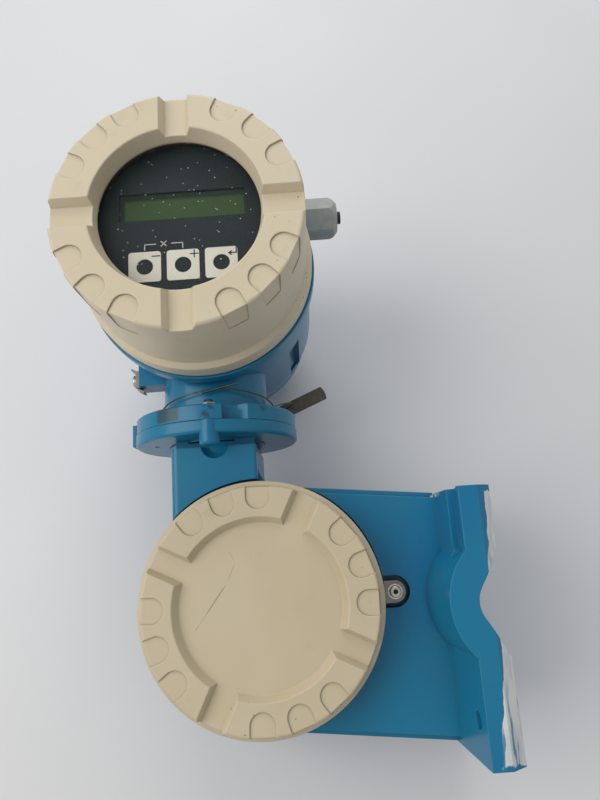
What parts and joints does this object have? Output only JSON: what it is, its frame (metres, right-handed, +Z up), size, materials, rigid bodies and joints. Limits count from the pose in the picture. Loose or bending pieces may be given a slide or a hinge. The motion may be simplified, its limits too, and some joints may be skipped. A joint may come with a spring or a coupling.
{
  "type": "remote flow meter transmitter",
  "caption": "Remote transmitter of an electromagnetic flow meter: round display housing on a swivel neck above a wall-mounted connection housing with screw covers.",
  "frame": {"origin": "centre of the four wall bolt holes, on the wall face of the pads", "axes": "+Z up as installed, display and connection cover look along -Y, +X points into the wall"},
  "size_m": [0.2228, 0.2081, 0.3502],
  "materials": {
    "housing_paint": "glossy blue enamel on cast aluminium, a little scuffed",
    "ring_paint": "glossy blue enamel with small chips and stains",
    "rear_cover_paint": "glossy blue enamel",
    "cover_paint": "satin beige powder coat with chipped edges",
    "seal_rubber": "matt black",
    "window_glass": "clear with fine dust",
    "snap_ring": "blackened spring steel",
    "display_fascia": "dark slate, satin",
    "lcd_glass": "olive green liquid crystal, switched off",
    "key_field": "off-white print",
    "key_eye": "black optical window",
    "electronics_case": "black moulded plastic",
    "terminal_plastic": "grey moulded plastic",
    "claw_steel": "stainless, light scratches",
    "screw_steel": "stainless, polished",
    "gland_plastic": "light grey polyamide",
    "plug_rubber": "black",
    "tag_metal": "dark weathered steel",
    "wire_steel": "thin steel wire"
  },
  "bodies": {
    "connection": {"connection_housing": "housing_paint", "connection_terminals": "terminal_plastic", "lock_screws": "screw_steel"},
    "claw": {"cover_claw": "claw_steel", "claw_screw": "screw_steel"},
    "connection_cover_seal_body": {"connection_cover_seal": "seal_rubber"},
    "connection_cover": {"connection_cover": "cover_paint"},
    "lock_ring": {"lock_ring": "ring_paint"},
    "transmitter": {"transmitter_housing": "housing_paint", "neck_seal": "seal_rubber", "electronics_module": "electronics_case", "transmitter_terminals": "terminal_plastic", "gland_body": "gland_plastic", "ground_clamp": "claw_steel", "ground_screw": "screw_steel", "tag_wire": "wire_steel", "tag_plate": "tag_metal"},
    "display": {"display_module": "display_fascia", "lcd_panel": "lcd_glass", "key_fields": "key_field", "key_eyes": "key_eye"},
    "display_cover_seal_body": {"display_cover_seal": "seal_rubber"},
    "display_cover": {"display_cover": "cover_paint", "window_glass": "window_glass", "window_snap_ring": "snap_ring"},
    "rear_cover_seal_body": {"rear_cover_seal": "seal_rubber"},
    "rear_cover": {"rear_cover": "rear_cover_paint"},
    "plug": {"gland_plug": "plug_rubber"},
    "gland_nut": {"gland_nut": "gland_plastic"}
  },
  "joints": [
    {"name": "transmitter_swivel", "type": "hinge", "parent": "connection", "child": "transmitter", "pos_m": [-0.1534, 0, 0.1215], "axis": [0, 0, 1], "range_deg": [-180, 180]},
    {"name": "lock_ring_turn", "type": "hinge", "parent": "connection", "child": "lock_ring", "pos_m": [-0.1534, 0, 0.1215], "axis": [0, 0, 1], "range_deg": [0, 12]},
    {"name": "display_cover_travel", "type": "slide", "parent": "transmitter", "child": "display_cover_seal_body", "axis": [0, -1, 0], "range_m": [0, 0.01401]},
    {"name": "display_cover_turn", "type": "hinge", "parent": "display_cover_seal_body", "child": "display_cover", "pos_m": [-0.1534, -0.048, 0.2163], "axis": [0, -1, 0], "range_deg": [0, 2520]},
    {"name": "rear_cover_travel", "type": "slide", "parent": "transmitter", "child": "rear_cover_seal_body", "axis": [0, 1, 0], "range_m": [0, 0.01401]},
    {"name": "rear_cover_turn", "type": "hinge", "parent": "rear_cover_seal_body", "child": "rear_cover", "pos_m": [-0.1534, 0.0606, 0.2163], "axis": [0, 1, 0], "range_deg": [0, 2520]},
    {"name": "connection_cover_travel", "type": "slide", "parent": "connection", "child": "connection_cover_seal_body", "axis": [0, -1, 0], "range_m": [0, 0.01401]},
    {"name": "connection_cover_turn", "type": "hinge", "parent": "connection_cover_seal_body", "child": "connection_cover", "pos_m": [-0.1271, 0.0017, 0.0174], "axis": [0, -1, 0], "range_deg": [0, 2520]},
    {"name": "display_rotate", "type": "hinge", "parent": "transmitter", "child": "display", "pos_m": [-0.1534, -0.1, 0.2163], "axis": [0, -1, 0], "range_deg": [-180, 180]},
    {"name": "claw_lift", "type": "slide", "parent": "connection", "child": "claw", "axis": [0, -1, 0], "range_m": [0, 0.005]},
    {"name": "gland_squeeze", "type": "slide", "parent": "transmitter", "child": "plug", "axis": [1, 0, 0], "range_m": [0, 0.003]},
    {"name": "gland_nut_turn", "type": "hinge", "parent": "plug", "child": "gland_nut", "pos_m": [-0.0784, -0.008, 0.2669], "axis": [1, 0, 0], "range_deg": [0, 722.5]}
  ],
  "couplings": [
    {"joint": "display_cover_travel", "follows": "display_cover_turn", "m_per_rad": 0.00031831},
    {"joint": "rear_cover_travel", "follows": "rear_cover_turn", "m_per_rad": 0.00031831},
    {"joint": "connection_cover_travel", "follows": "connection_cover_turn", "m_per_rad": 0.00031831},
    {"joint": "gland_nut_turn", "follows": "gland_squeeze", "rad_per_m": 4188.8}
  ]
}
